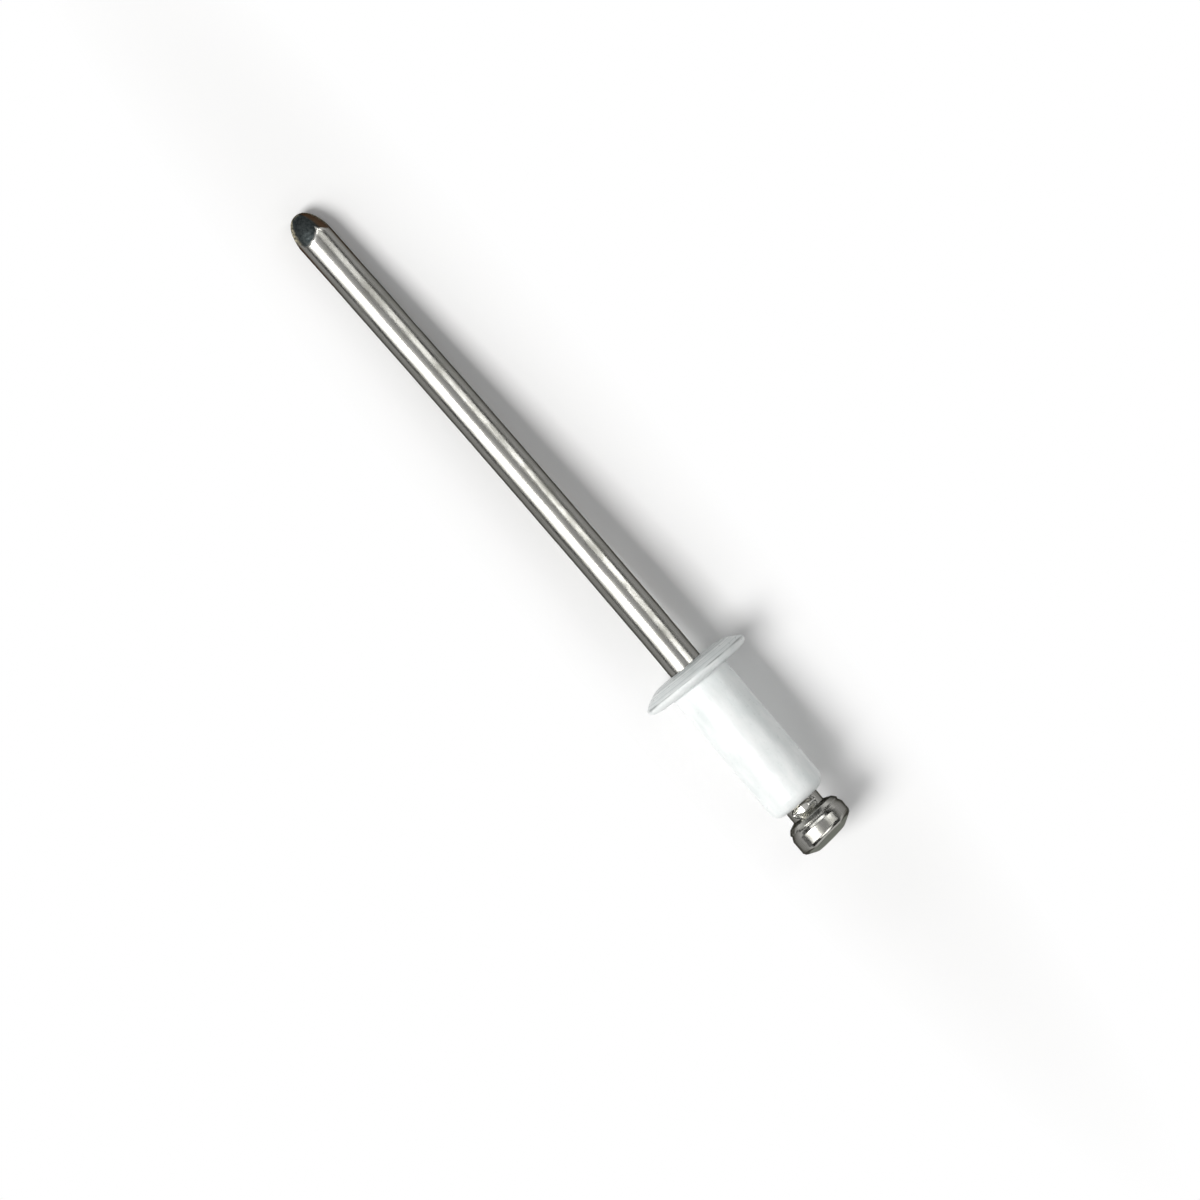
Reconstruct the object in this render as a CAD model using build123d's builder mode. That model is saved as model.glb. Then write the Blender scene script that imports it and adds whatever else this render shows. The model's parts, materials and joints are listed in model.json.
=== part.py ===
from build123d import *
import os
from math import atan2, cos, degrees, radians, sin, tan

# A blind rivet as supplied, 3.2 mm by 8 mm: a painted flanged sleeve on a steel
# mandrel.  Pulling the mandrel's pointed end draws its head into the sleeve's tail,
# until the dented neck snaps.
#
# Frame: the origin is the centre of the flange's bearing face.  The rivet lies
# as it comes to rest, on the flange's rim and the mandrel's point, so its axis
# leans a few degrees in the XZ plane, with the mandrel's head towards +X.
# All lengths are millimetres, all angles degrees.

# --- driving dimensions -------------------------------------------------------
sleeve_diameter = 3.25            # 3.2 nominal, over its paint
sleeve_length = 7.8               # bearing face to tail
sleeve_tail_round = 0.60          # tail corner, rolled in; never all of the wall
flange_diameter = 6.1
flange_rim_height = 0.42          # height of the rim's outer band
flange_dome_height = 0.58         # dome above the rim
flange_crown_diameter = 3.0       # flat ring round the mandrel
flange_rim_round = 0.28           # rim's corner on the bearing side
flange_edge_round = 0.06          # corner between rim and dome
flange_root_round = 0.08          # corner between bearing face and sleeve

mandrel_diameter = 1.85
mandrel_stick_out = 29.45         # crown of the flange to the point
mandrel_clearance = 0.03          # radial gap between mandrel and bore
stake_depth = 0.05                # ring groove that the flange's lip is pressed into
stake_length = 0.60

point_half_angle = 28.0           # facet to axis
point_blunt = 0.17                # what is missing of the sharp point
point_turn = 22.0                 # first ridge, from straight up towards +Y

neck_gap = 0.57                   # sleeve's tail to the start of the mandrel's head
notch_depth = 0.20                # break neck, pinched from above and below
notch_jaw_radius = 0.325
head_undersize = 0.08             # head's diameter under the sleeve's, to pass its hole
head_length = 1.93
head_underside_height = 0.46      # cone between neck and head
head_root_round = 0.25
head_shoulder_round = 0.30
head_end_round = 0.55
head_end_lean = 14.0              # end face, out of square towards +Z

# --- values worked out from them ----------------------------------------------
sleeve_radius = sleeve_diameter / 2
flange_radius = flange_diameter / 2
crown_radius = flange_crown_diameter / 2
flange_height = flange_rim_height + flange_dome_height
mandrel_radius = mandrel_diameter / 2
bore_radius = mandrel_radius + mandrel_clearance
sleeve_wall = sleeve_radius - bore_radius
tail_round = min(sleeve_tail_round, 0.9 * sleeve_wall)
head_radius = sleeve_radius - head_undersize / 2

tip_at = -(flange_height + mandrel_stick_out)
apex_at = tip_at - point_blunt
point_length = mandrel_radius / tan(radians(point_half_angle))
head_from = sleeve_length + neck_gap
head_to = head_from + head_length
blank_to = head_to + head_radius * tan(radians(head_end_lean))
stake_from = -flange_height
stake_to = stake_from + stake_length
stake_middle = stake_from + stake_length / 2
notch_at = sleeve_length + neck_gap / 2
jaw_height = mandrel_radius - notch_depth + notch_jaw_radius
corner_match = 0.001              # how near a corner lies to the place it is picked by

# The two places that touch the ground are the rim and the start of the point.
rim_touch = -flange_rim_height / 2
point_touch = apex_at + point_length
rest_lean = degrees(atan2(flange_radius - mandrel_radius, rim_touch - point_touch))

along = Vector(cos(radians(rest_lean)), 0, sin(radians(rest_lean)))
rivet_plane = Plane(origin=(0, 0, 0), x_dir=along, z_dir=(0, -1, 0))
rivet_axis = Axis((0, 0, 0), along)
upward = rivet_plane.y_dir
sideward = -rivet_plane.z_dir


def point_facet(turn):
    """Plane of one facet of the point, facing outwards: turn is about the axis, from up to +Y."""
    outward = upward * cos(radians(turn)) + sideward * sin(radians(turn))
    lean = radians(point_half_angle)
    return Plane(origin=along * apex_at, z_dir=outward * cos(lean) - along * sin(lean))


def head_end_face():
    """Plane of the mandrel head's end: it leans so that its upper edge is set back."""
    lean = radians(head_end_lean)
    flat_radius = head_radius - head_end_round
    middle = along * (head_to - flat_radius * tan(lean))
    return Plane(origin=middle, z_dir=along * cos(lean) + upward * sin(lean))


# --- rivet body: one aluminium piece, cold-headed and painted -------------------
with BuildPart() as rivet_body:
    with BuildSketch(rivet_plane) as body_section:
        with BuildLine():
            Line((-flange_height, bore_radius), (-flange_height, crown_radius))
            TangentArc(
                (-flange_height, crown_radius),
                (-flange_rim_height, flange_radius),
                tangent=(0, 1),
            )
            Polyline(
                (-flange_rim_height, flange_radius),
                (0, flange_radius),
                (0, sleeve_radius),
                (sleeve_length, sleeve_radius),
                (sleeve_length, bore_radius),
                (stake_to, bore_radius),
            )
            ThreePointArc(
                (stake_to, bore_radius),
                (stake_middle, bore_radius - stake_depth),
                (stake_from, bore_radius),
            )
        make_face()
        rim_corners = body_section.vertices().group_by(Axis.Y)[-1].sort_by(Axis.X)
        sleeve_corners = body_section.vertices().filter_by(
            lambda corner: abs(corner.Y - sleeve_radius) < corner_match
        ).sort_by(Axis.X)
        fillet(rim_corners[0], flange_edge_round)
        fillet(rim_corners[1], flange_rim_round)
        fillet(sleeve_corners[0], flange_root_round)
        fillet(sleeve_corners[1], tail_round)
    revolve(axis=rivet_axis)
rivet_body.part.label = "rivet_body"

# --- mandrel: one piece of steel wire, headed, necked and cut to a point --------
with BuildPart() as mandrel:
    with BuildSketch(rivet_plane) as mandrel_section:
        with BuildLine():
            Polyline((tip_at, 0), (tip_at, mandrel_radius), (stake_from, mandrel_radius))
            ThreePointArc(
                (stake_from, mandrel_radius),
                (stake_middle, mandrel_radius - stake_depth),
                (stake_to, mandrel_radius),
            )
            Polyline(
                (stake_to, mandrel_radius),
                (head_from, mandrel_radius),
                (head_from + head_underside_height, head_radius),
                (blank_to, head_radius),
                (blank_to, 0),
                (tip_at, 0),
            )
        make_face()
        shoulder = mandrel_section.vertices().group_by(Axis.Y)[-1].sort_by(Axis.X)[0]
        root_corner = mandrel_section.vertices().filter_by(
            lambda corner: abs(corner.X - head_from) < corner_match
        )
        fillet(shoulder, head_shoulder_round)
        fillet(root_corner, head_root_round)
    revolve(axis=rivet_axis)
    for quarter in range(4):
        split(bisect_by=point_facet(point_turn + 45 + 90 * quarter), keep=Keep.BOTTOM)
    split(bisect_by=head_end_face(), keep=Keep.BOTTOM)
    fillet(mandrel.faces().sort_by(rivet_axis)[-1].edges(), head_end_round)
    with BuildSketch(rivet_plane):
        with Locations((notch_at, jaw_height), (notch_at, -jaw_height)):
            Circle(notch_jaw_radius)
    extrude(amount=mandrel_radius, both=True, mode=Mode.SUBTRACT)
mandrel.part.label = "mandrel"

# --- one STEP file for each piece -----------------------------------------------
os.makedirs("parts", exist_ok=True)
export_step(rivet_body.part, "parts/rivet_body.step")
export_step(mandrel.part, "parts/mandrel.step")
print(f"rest lean {rest_lean:.3f} degrees, axis {along.X:.6f} 0 {along.Z:.6f}")
print(f"point at {tip_at:.3f}, head end at {head_to:.3f} mm along the axis")
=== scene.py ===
import json
from math import atan2, cos, pi, radians, sin, tan

import bpy
import numpy as np
from mathutils import Matrix, Vector


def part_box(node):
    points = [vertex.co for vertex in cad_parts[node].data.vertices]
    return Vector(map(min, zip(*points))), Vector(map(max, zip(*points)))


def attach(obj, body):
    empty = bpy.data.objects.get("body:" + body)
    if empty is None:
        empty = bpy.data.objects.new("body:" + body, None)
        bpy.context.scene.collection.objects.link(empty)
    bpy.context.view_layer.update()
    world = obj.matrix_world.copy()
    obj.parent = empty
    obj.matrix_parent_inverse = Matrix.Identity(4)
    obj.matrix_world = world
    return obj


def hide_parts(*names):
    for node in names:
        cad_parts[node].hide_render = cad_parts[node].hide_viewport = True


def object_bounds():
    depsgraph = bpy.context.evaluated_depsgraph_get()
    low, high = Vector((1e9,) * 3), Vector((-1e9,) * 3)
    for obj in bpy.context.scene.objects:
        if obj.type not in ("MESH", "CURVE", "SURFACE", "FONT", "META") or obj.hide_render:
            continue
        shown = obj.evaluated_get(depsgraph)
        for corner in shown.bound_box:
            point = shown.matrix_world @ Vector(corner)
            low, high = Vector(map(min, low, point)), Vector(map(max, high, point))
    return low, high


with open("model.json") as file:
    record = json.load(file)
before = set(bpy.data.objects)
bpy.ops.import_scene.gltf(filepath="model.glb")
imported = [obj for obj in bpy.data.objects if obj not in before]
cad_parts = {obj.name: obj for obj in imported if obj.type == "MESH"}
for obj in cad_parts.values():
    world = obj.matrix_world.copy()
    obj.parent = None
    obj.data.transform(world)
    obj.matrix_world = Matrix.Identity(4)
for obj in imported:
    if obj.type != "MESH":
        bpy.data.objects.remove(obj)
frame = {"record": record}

cad_low, cad_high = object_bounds()

# --- The rivet's place: its axes and its driving sizes --------------------------
# A blind rivet as supplied lies on its flange's rim and its mandrel's point, so
# its axis leans a few degrees.  Lengths along the axis are counted in millimetres
# from the flange's bearing face, positive towards the sleeve's tail and the head.
MM = 0.001
mounts = {mount["name"]: mount for mount in frame["record"]["mounts"]}
along = np.array(mounts["shank"]["axis"]) / np.linalg.norm(mounts["shank"]["axis"])
sideways = np.array((0.0, 1.0, 0.0))
upward = np.cross(along, sideways)
bearing_face = np.array(mounts["under_head"]["pos_m"])
rest_lean = atan2(along[2], along[0])

sleeve_radius = mounts["shank"]["dims"]["r_mm"]
wire_radius = mounts["stem"]["dims"]["r_mm"]
flange_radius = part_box("rivet_body")[1].y / MM
point_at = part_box("mandrel")[0].x / along[0] / MM
head_to = 10.3
rivet_length = head_to - point_at


def place(axial, radius, turn):
    """Points at a distance along the axis and a radius from it, in mm: the radius points
    up at turn 0 and towards +Y at a quarter turn.  Returns metres in the row's frame."""
    out = np.multiply.outer(np.cos(turn) * radius, upward)
    out += np.multiply.outer(np.sin(turn) * radius, sideways)
    out += np.multiply.outer(axial, along)
    return bearing_face + out * MM


# --- Camera: above the rivet, square to its axis ---------------------------------
# It looks straight down on the lying rivet, with the point at the upper left and the
# head at the lower right.
axis_slope = radians(49.05)
frame_lengths = 1.4554            # the frame's side, in rivet lengths
aim_from_point = 0.594            # the frame's middle, in rivet lengths from the point
aim_beside = 0.0264               # and beside the axis, towards -Y
camera_lengths = 7.4

aim = place(point_at + aim_from_point * rivet_length, aim_beside * rivet_length, -pi / 2)
camera_data = bpy.data.cameras.new("camera")
camera_data.sensor_width = 36.0
camera_data.lens = camera_data.sensor_width * camera_lengths / frame_lengths
camera_data.clip_start = 0.01
camera = bpy.data.objects.new("camera", camera_data)
bpy.context.scene.collection.objects.link(camera)
to_right = cos(axis_slope) * along + sin(axis_slope) * sideways
to_top = cos(axis_slope) * sideways - sin(axis_slope) * along
camera_turn = Matrix(np.column_stack((to_right, to_top, upward)).tolist()).to_4x4()
camera_place = Vector(aim + upward * camera_lengths * rivet_length * MM)
camera.matrix_world = Matrix.Translation(camera_place) @ camera_turn
bpy.context.scene.camera = camera


# --- Studio: floor, world and lamps ----------------------------------------------
# A plain white floor under the rivet and a frame of soft boxes round the camera, with
# the wide one and a small key lamp on the -Y side, so shadows fall towards +Y.
def node(tree, kind, inputs=None, **settings):
    """Adds a shader node, sets its properties, and sets or links its inputs by name or number."""
    made = tree.nodes.new(kind)
    for name, value in settings.items():
        setattr(made, name, value)
    for name, value in (inputs or {}).items():
        if isinstance(value, bpy.types.NodeSocket):
            tree.links.new(value, made.inputs[name])
        else:
            made.inputs[name].default_value = value
    return made


def new_material(name):
    """An empty node material and its tree."""
    material = bpy.data.materials.new(name)
    material.use_nodes = True
    material.node_tree.nodes.clear()
    return material, material.node_tree


def finish_material(tree, shader):
    """Puts a shader on the material's surface."""
    node(tree, "ShaderNodeOutputMaterial", {"Surface": shader})


floor_material, tree = new_material("floor")
light_path = node(tree, "ShaderNodeLightPath")
seen = light_path.outputs["Is Camera Ray"]
for ray in ("Is Glossy Ray", "Is Transmission Ray"):
    seen = node(
        tree, "ShaderNodeMath", {0: seen, 1: light_path.outputs[ray]}, operation="MAXIMUM"
    ).outputs[0]
# The near floor is an oval round the rivet, and beyond it the floor fades to white.
floor_coords = node(tree, "ShaderNodeTexCoord").outputs["Object"]
oval_middle = 0.5 * (point_at + head_to) * MM
oval_long, oval_wide = 0.046, 0.0058
oval_beside = 0.0012              # the oval lies towards +Y, where the shadow falls
oval = node(
    tree,
    "ShaderNodeMapping",
    {
        "Vector": floor_coords,
        "Location": (-oval_middle / oval_long, -oval_beside / oval_wide, -cad_low[2]),
        "Scale": (1 / oval_long, 1 / oval_wide, 1),
    },
)
from_middle = node(
    tree, "ShaderNodeVectorMath", {0: oval.outputs[0]}, operation="LENGTH"
).outputs["Value"]
far = node(
    tree, "ShaderNodeMapRange", {"Value": from_middle, "From Min": 0.42, "From Max": 1.0}
).outputs["Result"]
far_and_seen = node(
    tree, "ShaderNodeMath", {0: far, 1: seen}, operation="MULTIPLY"
).outputs[0]
near_floor = node(tree, "ShaderNodeBsdfDiffuse", {"Color": (0.93, 0.93, 0.93, 1)}).outputs[0]
white = node(tree, "ShaderNodeEmission", {"Strength": 1.0}).outputs[0]
finish_material(
    tree, node(tree, "ShaderNodeMixShader", {0: far_and_seen, 1: near_floor, 2: white}).outputs[0]
)

floor_half = 3.0
floor_mesh = bpy.data.meshes.new("floor")
floor_mesh.from_pydata(
    [(x * floor_half, y * floor_half, cad_low[2]) for x, y in ((-1, -1), (1, -1), (1, 1), (-1, 1))],
    [],
    [(0, 1, 2, 3)],
)
floor_mesh.materials.append(floor_material)
floor = bpy.data.objects.new("floor", floor_mesh)
bpy.context.scene.collection.objects.link(floor)

world = bpy.data.worlds.new("studio")
bpy.context.scene.world = world
world.use_nodes = True
tree = world.node_tree
tree.nodes.clear()
sky_height = node(
    tree, "ShaderNodeSeparateXYZ", {0: node(tree, "ShaderNodeTexCoord").outputs["Generated"]}
).outputs["Z"]
sky = node(tree, "ShaderNodeValToRGB", {"Fac": sky_height})
sky.color_ramp.elements[0].position = 0.86
sky.color_ramp.elements[0].color = (0.01, 0.01, 0.01, 1)
sky.color_ramp.elements[1].position = 0.97
sky.color_ramp.elements[1].color = (0.58, 0.58, 0.59, 1)
world_light = node(tree, "ShaderNodeBackground", {"Color": sky.outputs["Color"], "Strength": 1.0})
node(tree, "ShaderNodeOutputWorld", {"Surface": world_light.outputs[0]})

lamp_reach = 1.0
watts_per_radiance = 4.0          # for each square metre of an area lamp


def soft_box(name, toward, tilt, across, length, radiance, tint=(1.0, 1.0, 1.0)):
    """A rectangular lamp at lamp_reach metres that faces the rivet.  It stands tilt degrees from
    straight up, towards a direction, and covers two angles, across that tilt and beside it."""
    data = bpy.data.lights.new(name, "AREA")
    data.shape = "RECTANGLE"
    data.size = 2 * lamp_reach * tan(radians(length / 2))
    data.size_y = 2 * lamp_reach * tan(radians(across / 2))
    data.energy = watts_per_radiance * radiance * data.size * data.size_y
    data.color = tint
    outward = upward * cos(radians(tilt)) + toward * sin(radians(tilt))
    level = np.cross(outward, toward)
    level /= np.linalg.norm(level)
    lamp = bpy.data.objects.new(name, data)
    bpy.context.scene.collection.objects.link(lamp)
    turn = Matrix(np.column_stack((level, np.cross(outward, level), outward)).tolist())
    lamp.matrix_world = Matrix.Translation(Vector(aim + outward * lamp_reach)) @ turn.to_4x4()


soft_box("key_box", -sideways, 44.0, 45, 20, 2.1, (1.0, 1.0, 0.985))
soft_box("far_box", sideways, 44.0, 33, 9, 3.4, (1.0, 1.0, 0.985))
soft_box("fill_card", sideways, 83.0, 12, 50, 0.35)
soft_box("point_box", -along, 50.0, 7, 80, 1.5)
soft_box("head_box", along, 50.0, 8, 80, 1.5)
soft_box("key_lamp", -sideways, 33.0, 22, 22, 11.0, (1.0, 0.995, 0.985))


# --- Mandrel ----------------------------------------------------------------------
# One piece of drawn steel wire.  One end is upset into a head, the neck under it is
# pinched so that it will snap, and the other end is pinched off to a four-sided point.
def smooth_step(value, low, high):
    """0 below low, 1 above high, and a smooth S-shaped rise between them."""
    share = np.clip((value - low) / (high - low), 0, 1)
    return share * share * (3 - 2 * share)


def waves(axial, turn, seed, count, longest, rounds):
    """A smooth unevenness between about -1 and 1: the mean of cosines with seeded phases,
    each with a wavelength along the axis and a whole number of waves round it."""
    draw = np.random.default_rng(seed)
    total = np.zeros(np.broadcast(axial, turn).shape)
    for _ in range(count):
        length = longest * draw.uniform(0.25, 1.0) * draw.choice((-1, 1))
        around = draw.integers(0, rounds + 1)
        total += np.cos(2 * pi * axial / length + around * turn + draw.uniform(0, 2 * pi))
    return total * (2 / count) ** 0.5 / 1.6


def profile(corners, rounds, step):
    """Points along an outline: straight sides between the corners, each inner corner replaced
    by an arc of its own radius that touches both sides, sampled about every step."""
    corners = [np.array(c, float) for c in corners]
    out = [corners[0]]
    for before, corner, after, radius in zip(corners, corners[1:], corners[2:], rounds):
        back = (before - corner) / np.linalg.norm(before - corner)
        ahead = (after - corner) / np.linalg.norm(after - corner)
        half = 0.5 * np.arccos(np.clip(back @ ahead, -1, 1))
        if radius <= 0:
            out.append(corner)
            continue
        reach = radius / tan(half)
        first, last = corner + back * reach, corner + ahead * reach
        middle = corner + (back + ahead) / np.linalg.norm(back + ahead) * radius / sin(half)
        swing = pi - 2 * half
        for share in np.linspace(0, 1, max(3, int(radius * swing / step) + 2)):
            spoke = (first - middle) * sin((1 - share) * swing) + (last - middle) * sin(share * swing)
            out.append(middle + spoke / sin(swing))
    out.append(corners[-1])
    dense = [out[0]]
    for start, end in zip(out, out[1:]):
        parts = max(1, int(np.ceil(np.linalg.norm(end - start) / step - 1e-6)))
        dense += [start + (end - start) * (k + 1) / parts for k in range(parts)]
    return np.array(dense)


def skin(name, points, poles=None, marks=None):
    """A closed mesh from a grid of points whose columns go round the axis.  With poles the
    first and last rows end in one point each, and without them the rows close into a loop."""
    rows, columns = points.shape[:2]
    number = np.arange(rows * columns).reshape(rows, columns)
    following = np.roll(number, -1, axis=1)
    below = number if poles is None else number[:-1]
    above = np.roll(number, -1, axis=0) if poles is None else number[1:]
    right_below = following if poles is None else following[:-1]
    right_above = np.roll(following, -1, axis=0) if poles is None else following[1:]
    quads = np.stack((below, right_below, right_above, above), -1).reshape(-1, 4)
    corners = points.reshape(-1, 3)
    faces = quads.tolist()
    if poles is not None:
        first, last = rows * columns, rows * columns + 1
        corners = np.vstack((corners, poles))
        faces += [(first, int(b), int(a)) for a, b in zip(number[0], following[0])]
        faces += [(last, int(a), int(b)) for a, b in zip(number[-1], following[-1])]
    a, b, c, d = (corners[quads[:, k]] for k in range(4))
    volume = np.einsum("ij,ij->", a, np.cross(b, c)) + np.einsum("ij,ij->", a, np.cross(c, d))
    if volume < 0:
        faces = [tuple(reversed(face)) for face in faces]
    mesh = bpy.data.meshes.new(name)
    mesh.from_pydata(corners.tolist(), [], faces)
    mesh.shade_smooth()
    for mark, values in (marks or {}).items():
        ends = [] if poles is None else [values[0, 0], values[-1, 0]]
        attribute = mesh.attributes.new(mark, "FLOAT", "POINT")
        attribute.data.foreach_set("value", np.append(values.ravel(), ends).astype(np.float32))
    piece = bpy.data.objects.new(name, mesh)
    bpy.context.scene.collection.objects.link(piece)
    return piece


point_length = 1.74
point_turn = radians(22)          # the first ridge, from straight up towards +Y
sleeve_length = 7.8
neck_gap = 0.57
neck_radius = 0.955
scoop_at = 8.08
scoop_depth = 0.17
scoop_half_length = 0.30
scoop_half_turn = 0.78
head_radius = sleeve_radius - 0.03
head_end_at = 10.065
head_end_lean = radians(10)
lean_turn = radians(25)
nick_from_point = 7.8
bump_at = 8.66                    # a lump under the head, on the -Y side
mandrel_columns = 232
bow = 0.09                        # the stem's bend towards +Y at its middle


def drift(axial):
    """How far the rivet runs off its straight axis towards +Y, in mm: the stem bows to one
    side by a half sine wave, and the sleeve and the head lean off to the other."""
    bowed = bow * np.sin(pi * np.clip((axial - point_at) / (0 - point_at), 0, 1))
    return bowed - (0.03 + 0.0105 * np.clip(axial, 0, None)) * smooth_step(axial, -4.0, 0.0)


head_from = sleeve_length + neck_gap
around = 2 * pi * np.arange(mandrel_columns) / mandrel_columns + point_turn
tip_stations = point_at + np.linspace(0.02, 1, 120) ** 1.6 * 2.2
stem_stations = np.linspace(tip_stations[-1], -1.3, 62)[1:]
bore_stations = np.array((-1.1, -0.9, 3.0, 7.2))
head_outline = profile(
    [
        (7.45, wire_radius),
        (sleeve_length - 0.1, neck_radius),
        (head_from, neck_radius),
        (head_from + 0.16, 1.34),
        (head_from + 0.38, 1.52),
        (head_from + 0.475, 1.475),
        (head_from + 0.53, 1.513),
        (head_from + 0.70, head_radius),
        (head_end_at - 0.21, head_radius),
        (head_end_at - 0.08, 1.53),
        (head_end_at - 0.015, 1.40),
        (head_end_at, 1.28),
        (head_end_at, 0),
    ],
    [0.3, 0.08, 0.16, 0.06, 0.02, 0.01, 0.10, 0.08, 0.07, 0.02, 0.02],
    0.022,
)
head_outline = head_outline[head_outline[:, 1] > 0.03]
stations = np.concatenate((tip_stations, stem_stations, bore_stations, head_outline[:, 0]))
radii = np.concatenate(
    (np.full(len(stations) - len(head_outline), wire_radius), head_outline[:, 1])
)
axial, turn = np.meshgrid(stations, around, indexing="ij")
radius = radii[:, None] + 0 * turn

# The point: four facets that steepen towards the blunt tip, with a rolled bright edge.
from_tip = axial - point_at
facet_turn = (turn - point_turn) % (pi / 2) - pi / 4
facet_number = np.floor((turn - point_turn) / (pi / 2)).astype(int) % 4
facet_share = from_tip / (point_length * np.cos(facet_turn))
facet_share = facet_share * np.array((1.05, 1.0, 1.08, 1.0))[facet_number]
dome_share = (1 - np.clip(1 - facet_share, 0, 1) ** 2) ** 0.44
facet_limit = wire_radius * (0.9 * dome_share + 0.1 * facet_share)
tearing = waves(axial * 6, turn, 3, 14, 4.0, 9)
facet_limit = facet_limit + 0.003 * tearing * np.clip(from_tip, 0, 1)
pared = radius - facet_limit
on_point = axial < tip_stations[-1]
radius = np.where(on_point & (pared > 0), facet_limit, radius)
rolled = np.exp(-(((pared - 0.003) / 0.006) ** 2)) * on_point
rolled *= 1 - smooth_step(np.abs(np.sin(turn)), 0.50, 0.72)
radius += 0.008 * rolled
sheared = np.where(on_point, smooth_step(pared, 0.007, 0.012), 0)
toward_side = smooth_step(-np.sin(turn), 0.72, 0.90) + 0.5 * smooth_step(np.sin(turn), 0.88, 0.98)
torn = sheared * np.maximum(toward_side, np.exp(-((from_tip / 0.08) ** 2)))
browned = (1 - smooth_step(from_tip, 2.5, 5.0)) * smooth_step(np.abs(np.sin(turn)), 0.85, 0.98)
browned = browned * (1 - sheared) + 0.8 * sheared * (1 - torn) * smooth_step(np.sin(turn), 0.45, 0.65)
# Painted shade: a darker steel colour on the wire's two sides towards ±Y, along its whole length.
painted_side_shade = smooth_step(np.abs(np.sin(turn)), 0.60, 0.80)

# The neck: two shallow scoops, one above and one below, each with a slightly raised rim.
scooped = 0 * turn
for scoop_turn in (-0.10, pi - 0.10):
    off_turn = (turn - scoop_turn + pi) % (2 * pi) - pi
    off_scoop = ((axial - scoop_at) / scoop_half_length) ** 2 + (off_turn / scoop_half_turn) ** 2
    radius -= scoop_depth * smooth_step(1 - off_scoop, -0.15, 0.75)
    radius += 0.015 * np.exp(-(((off_scoop - 1.15) / 0.35) ** 2))
    scooped = np.maximum(scooped, np.clip(1.3 - off_scoop, 0, 1))

# The head: upset a little out of round, with a leaning flat end.
# Brighter, smoother steel on the head's two chamfer rings, facing up and down only, and in the neck's
# scoops: partly burnished steel, partly a painted highlight.
polish_and_highlight = np.exp(-(((axial - head_from - 0.61) / 0.075) ** 2))
polish_and_highlight += np.exp(-(((axial - head_end_at + 0.145) / 0.065) ** 2))
polish_and_highlight *= 1 - smooth_step(np.abs(np.sin(turn)), 0.40, 0.60)
polish_and_highlight += 0.7 * scooped
end_face = smooth_step(axial, head_end_at - 0.012, head_end_at - 0.002)
on_head = smooth_step(axial, head_from + 0.1, head_from + 0.6)
radius *= 1 + on_head * (0.006 * np.cos(2 * turn + 0.7) + 0.005 * np.cos(3 * turn + 2.0))
radius += on_head * 0.005 * waves(axial, turn, 5, 10, 1.6, 8)
bump = ((axial - bump_at) / 0.12) ** 2 + ((turn - 3 * pi / 2 - 0.70) / 0.13) ** 2
radius += 0.07 * np.exp(-bump)
leaning = smooth_step(axial, head_from + 0.65, head_end_at - 0.21)
axial = axial - leaning * radius * np.cos(turn - lean_turn) * tan(head_end_lean)
rounded_side = smooth_step(np.abs(np.sin(turn)), 0.55, 1.0)
axial -= 0.17 * leaning * rounded_side * smooth_step(radius, 0.9, 1.5)

# The stem: a small nick, faint waviness of the drawn wire, and a slight bow.
nick = np.exp(-(((axial - point_at - nick_from_point) / 0.35) ** 2) - ((turn - pi / 2 - 0.15) / 0.35) ** 2)
radius -= 0.035 * nick
radius += 0.003 * waves(axial, turn, 8, 12, 9.0, 3) * (1 - on_head)
points = place(axial, radius, turn) + np.multiply.outer(drift(axial) * MM, sideways)
poles = np.array((place(point_at, 0.0, 0.0), points[-1].mean(axis=0)))
wire_marks = {
    "sheared": sheared,
    "torn": torn,
    "rolled": rolled,
    "browned": browned,
    "painted_side_shade": painted_side_shade,
    "polish_and_highlight": polish_and_highlight,
    "end_face": end_face,
}
mandrel = skin("mandrel_wire", points, poles, wire_marks)

steel, tree = new_material("drawn_steel")


def rivet_coords(tree, stretch=(1.0, 1.0, 1.0)):
    """Object coordinates in millimetres, turned so that X runs along the rivet's axis, then
    stretched."""
    place_now = node(tree, "ShaderNodeTexCoord").outputs["Object"]
    level = node(
        tree,
        "ShaderNodeMapping",
        {"Vector": place_now, "Rotation": (0, rest_lean, 0), "Scale": (1 / MM,) * 3},
    )
    return node(
        tree, "ShaderNodeMapping", {"Vector": level.outputs[0], "Scale": stretch}
    ).outputs[0]


def noise(tree, vector, scale, detail=3.0, roughness=0.5):
    """Noise between 0 and 1 at that many features a millimetre."""
    inputs = {"Vector": vector, "Scale": scale, "Detail": detail, "Roughness": roughness}
    return node(tree, "ShaderNodeTexNoise", inputs).outputs["Fac"]


def ramp(tree, value, low, high, to_low=0.0, to_high=1.0):
    """Straight-line change of a value from one range to another, held at its ends."""
    inputs = {
        "Value": value,
        "From Min": low,
        "From Max": high,
        "To Min": to_low,
        "To Max": to_high,
    }
    return node(tree, "ShaderNodeMapRange", inputs).outputs["Result"]


def blend(tree, share, first, second):
    """A colour between two colours."""
    mixed = node(tree, "ShaderNodeMix", {"Factor": share}, data_type="RGBA")
    for socket, colour in ((mixed.inputs[6], first), (mixed.inputs[7], second)):
        if isinstance(colour, bpy.types.NodeSocket):
            tree.links.new(colour, socket)
        else:
            socket.default_value = (*colour, 1)
    return mixed.outputs[2]


def combine(tree, operation, first, second):
    """One arithmetic step on two values."""
    return node(tree, "ShaderNodeMath", {0: first, 1: second}, operation=operation).outputs[0]


def mark(tree, name):
    """A number painted on the mesh's points."""
    return node(tree, "ShaderNodeAttribute", attribute_name=name).outputs["Fac"]


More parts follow.
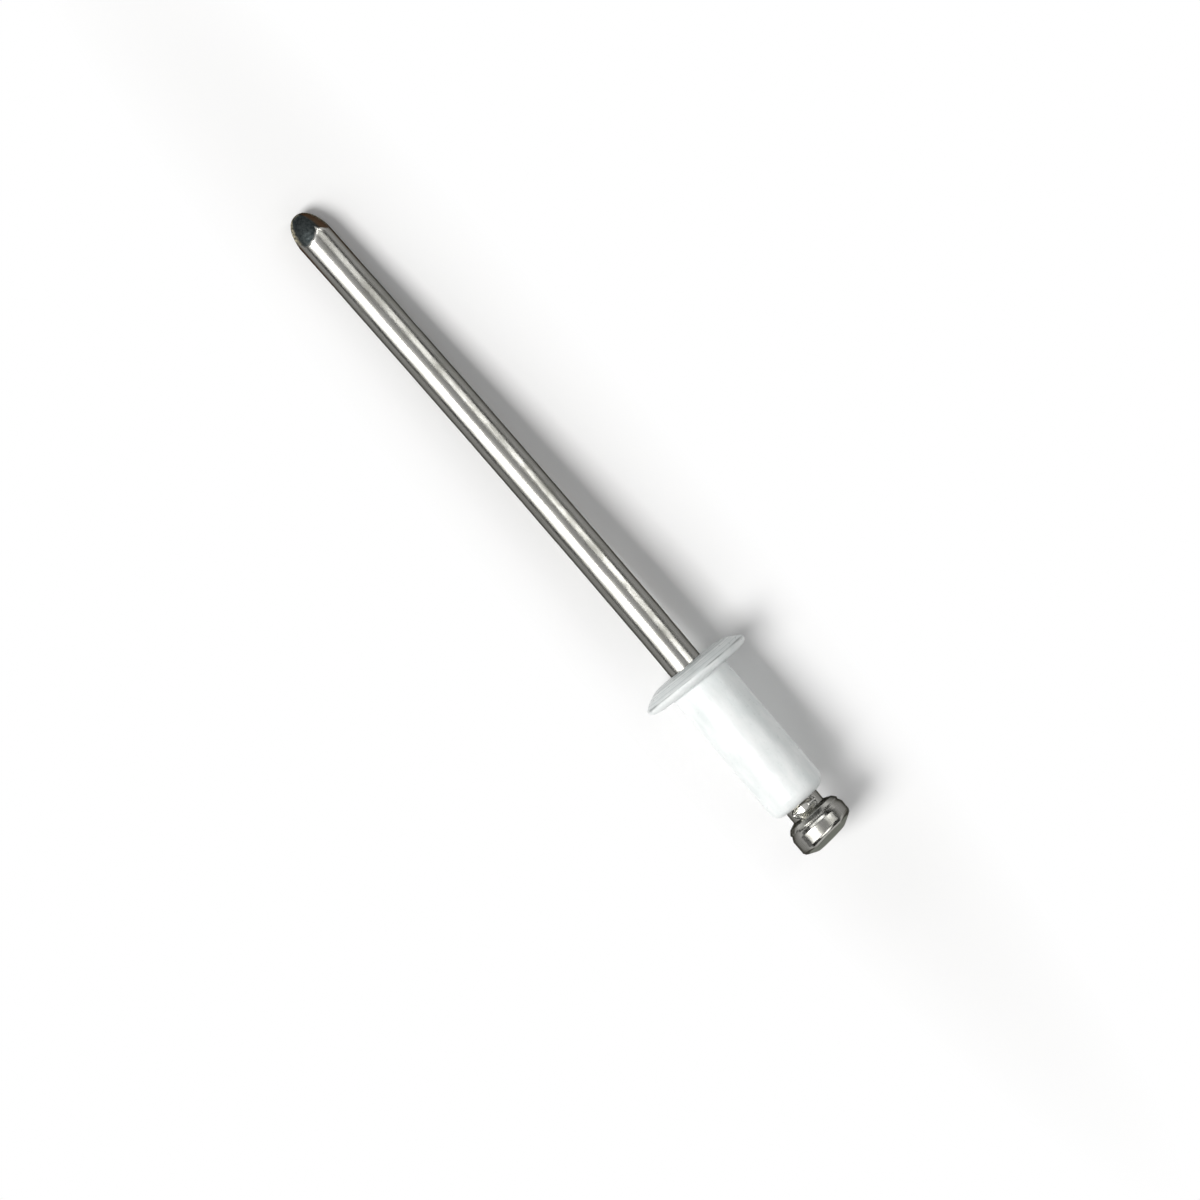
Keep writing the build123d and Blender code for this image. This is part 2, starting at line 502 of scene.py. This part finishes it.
drawn = rivet_coords(tree, (0.05, 1.0, 1.0))
grain = rivet_coords(tree)
die_lines = noise(tree, drawn, 7.0, 5.0, 0.65)
stains = noise(tree, grain, 0.9, 5.0, 0.6)
pits = noise(tree, grain, 9.0, 3.0, 0.6)
colour = blend(tree, ramp(tree, stains, 0.42, 0.66), (0.44, 0.435, 0.41), (0.37, 0.365, 0.335))
colour = blend(tree, ramp(tree, pits, 0.62, 0.72, 0, 0.5), colour, (0.22, 0.20, 0.16))
# Painted shade: the wire's sides towards ±Y get a darker steel colour.
colour = blend(tree, combine(tree, "MULTIPLY", mark(tree, "painted_side_shade"), 0.85), colour, (0.19, 0.187, 0.175))
facet_tone = blend(tree, ramp(tree, pits, 0.35, 0.65), (0.035, 0.043, 0.045), (0.075, 0.085, 0.085))
colour = blend(tree, mark(tree, "sheared"), colour, facet_tone)
brassy = combine(tree, "MULTIPLY", mark(tree, "torn"), ramp(tree, pits, 0.40, 0.60, 0.2, 0.9))
colour = blend(tree, brassy, colour, (0.66, 0.60, 0.44))
colour = blend(tree, mark(tree, "rolled"), colour, (0.93, 0.92, 0.87))
# Painted highlight, partly burnished steel: a much brighter steel colour on the chamfer rings and in the
# scoops.
polish_and_highlight_share = combine(tree, "MULTIPLY", mark(tree, "polish_and_highlight"), 0.85)
colour = blend(tree, polish_and_highlight_share, colour, (0.85, 0.84, 0.78))
brown = combine(tree, "MULTIPLY", mark(tree, "browned"), ramp(tree, stains, 0.3, 0.6, 0.5, 0.9))
colour = blend(tree, brown, colour, (0.13, 0.075, 0.04))
colour = blend(tree, mark(tree, "end_face"), colour, (0.36, 0.37, 0.33))
line_shine = ramp(tree, die_lines, 0.3, 0.7, 0.17, 0.30)
shine = combine(tree, "ADD", line_shine, ramp(tree, stains, 0.4, 0.7, 0, 0.08))
shine = combine(tree, "ADD", shine, combine(tree, "MULTIPLY", mark(tree, "sheared"), 0.22))
shine = combine(tree, "ADD", shine, combine(tree, "MULTIPLY", mark(tree, "end_face"), 0.25))
line_height = combine(tree, "MULTIPLY", die_lines, 0.7)
rough_height = combine(tree, "ADD", line_height, combine(tree, "MULTIPLY", pits, 0.2))
shine = combine(tree, "SUBTRACT", shine, combine(tree, "MULTIPLY", mark(tree, "polish_and_highlight"), 0.12))
steel_bump = node(
    tree, "ShaderNodeBump", {"Strength": 0.6, "Distance": 0.000004, "Height": rough_height}
)
steel_shader = node(
    tree,
    "ShaderNodeBsdfPrincipled",
    {
        "Base Color": colour,
        "Metallic": 1.0,
        "Roughness": shine,
        "Specular Tint": (0.15, 0.15, 0.145, 1),
        "Normal": steel_bump.outputs[0],
    },
)
finish_material(tree, steel_shader.outputs[0])
mandrel.data.materials.append(steel)
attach(mandrel, "root")
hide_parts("mandrel")


# --- Rivet body ---------------------------------------------------------------------
# One cold-headed aluminium tube with a domed flange and a rolled-in tail.  It is painted
# white all over, with a broken dark grey band along the flange's edge, wider towards ±Y.
mandrel_clearance = 0.03
bore_radius = wire_radius + mandrel_clearance
body_columns = 240
rim_height = 0.42
flange_height = 1.0
crown_radius = 1.5
dome_steps = 14
dome_radius = ((flange_radius - crown_radius) ** 2 + (flange_height - rim_height) ** 2) / (
    2 * (flange_height - rim_height)
)
dome_swing = np.arcsin((flange_radius - crown_radius) / dome_radius)
dome = [
    (
        -flange_height + dome_radius * (1 - cos(dome_swing * step / dome_steps)),
        crown_radius + dome_radius * sin(dome_swing * step / dome_steps),
    )
    for step in range(1, dome_steps)
]
body_outline = profile(
    [
        (3.0, bore_radius),
        (-flange_height + 0.02, bore_radius + 0.01),
        (-flange_height, bore_radius + 0.06),
        (-flange_height, crown_radius),
        *dome,
        (-rim_height, flange_radius - 0.01),
        (-0.24, flange_radius - 0.04),
        (-0.09, 2.82),
        (0.0, 2.40),
        (0.0, sleeve_radius),
        (sleeve_length, sleeve_radius),
        (sleeve_length, bore_radius + 0.012),
        (sleeve_length - 0.05, bore_radius),
        (3.0, bore_radius),
    ],
    [0, 0.03, 0.5] + [0] * len(dome) + [0.05, 0.20, 0.40, 1.0, 0.09, 0.60, 0.03, 0],
    0.06,
)[:-1]
around = 2 * pi * np.arange(body_columns) / body_columns
axial, turn = np.meshgrid(body_outline[:, 0], around, indexing="ij")
radius = body_outline[:, 1][:, None] + 0 * turn

# The flange is headed slightly out of square, and the coat of paint is uneven.
outside = smooth_step(radius, bore_radius + 0.05, bore_radius + 0.15)
on_flange = smooth_step(radius, sleeve_radius - 0.2, sleeve_radius + 0.2)
on_flange = np.maximum(on_flange, smooth_step(-axial, 0.1, 0.4)) * outside
axial = axial + on_flange * 0.033 * radius * np.sin(turn)
coat = waves(axial, turn, 11, 16, 5.0, 7)
radius += outside * (1 - on_flange) * 0.010 * coat
radius += on_flange * smooth_step(radius, 2.6, 3.0) * 0.014 * waves(0 * axial, turn, 12, 8, 5.0, 9)
axial += on_flange * 0.010 * waves(radius, turn, 13, 12, 2.0, 7)
# A broken dark grey band along the flange's edge, wider and fuller on its two sides towards ±Y.
from_edge = np.hypot(body_outline[:, 0] + rim_height, body_outline[:, 1] - flange_radius)
broken = 0.5 + 0.5 * waves(0 * axial, turn, 14, 12, 5.0, 14)
dark_rim_band_width = 0.045 + 0.07 * np.sin(turn) ** 8
dark_rim_band = np.exp(-((from_edge[:, None] / dark_rim_band_width) ** 2)) * np.clip(broken + 0.5 * np.sin(turn) ** 8, 0, 1)
off_axis = drift(axial) + 0.10 * on_flange
points = place(axial, radius, turn) + np.multiply.outer(off_axis * MM, sideways)
on_dome = smooth_step(-body_outline[:, 0], rim_height, rim_height + 0.06)[:, None] * outside
body = skin("rivet_body_shell", points, None, {"dark_rim_band": dark_rim_band, "on_dome": on_dome, "off_centre": radius})

paint, tree = new_material("white_enamel")
coat_place = rivet_coords(tree)
brushed = rivet_coords(tree, (0.35, 1.0, 1.0))
lumps = noise(tree, brushed, 1.6, 4.0, 0.55)
peel = noise(tree, coat_place, 5.0, 3.0, 0.5)
specks = noise(tree, coat_place, 6.5, 2.0, 0.5)
tone = blend(tree, ramp(tree, lumps, 0.35, 0.65), (0.79, 0.83, 0.825), (0.90, 0.92, 0.915))
tone = blend(tree, ramp(tree, specks, 0.70, 0.78, 0, 0.35), tone, (0.60, 0.63, 0.62))
ring_lines = node(
    tree,
    "ShaderNodeTexNoise",
    {"W": mark(tree, "off_centre"), "Scale": 3.4, "Detail": 3.0, "Roughness": 0.7},
    noise_dimensions="1D",
).outputs["Fac"]
brushing = combine(tree, "MULTIPLY", mark(tree, "on_dome"), ramp(tree, ring_lines, 0.38, 0.62, 0.10, 1.0))
tone = blend(tree, brushing, tone, (0.58, 0.62, 0.62))
# The flange's edge band takes a dark grey.
tone = blend(tree, mark(tree, "dark_rim_band"), tone, (0.22, 0.24, 0.24))
gloss = ramp(tree, peel, 0.3, 0.7, 0.26, 0.38)
paint_height = combine(tree, "ADD", lumps, combine(tree, "MULTIPLY", peel, 0.4))
paint_bump = node(
    tree, "ShaderNodeBump", {"Strength": 0.8, "Distance": 0.000035, "Height": paint_height}
)
paint_shader = node(
    tree,
    "ShaderNodeBsdfPrincipled",
    {
        "Base Color": tone,
        "Roughness": gloss,
        "Specular IOR Level": 0.5,
        "Normal": paint_bump.outputs[0],
    },
)
finish_material(tree, paint_shader.outputs[0])
body.data.materials.append(paint)
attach(body, "root")
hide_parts("rivet_body")

bpy.context.scene.view_settings.view_transform = "Standard"
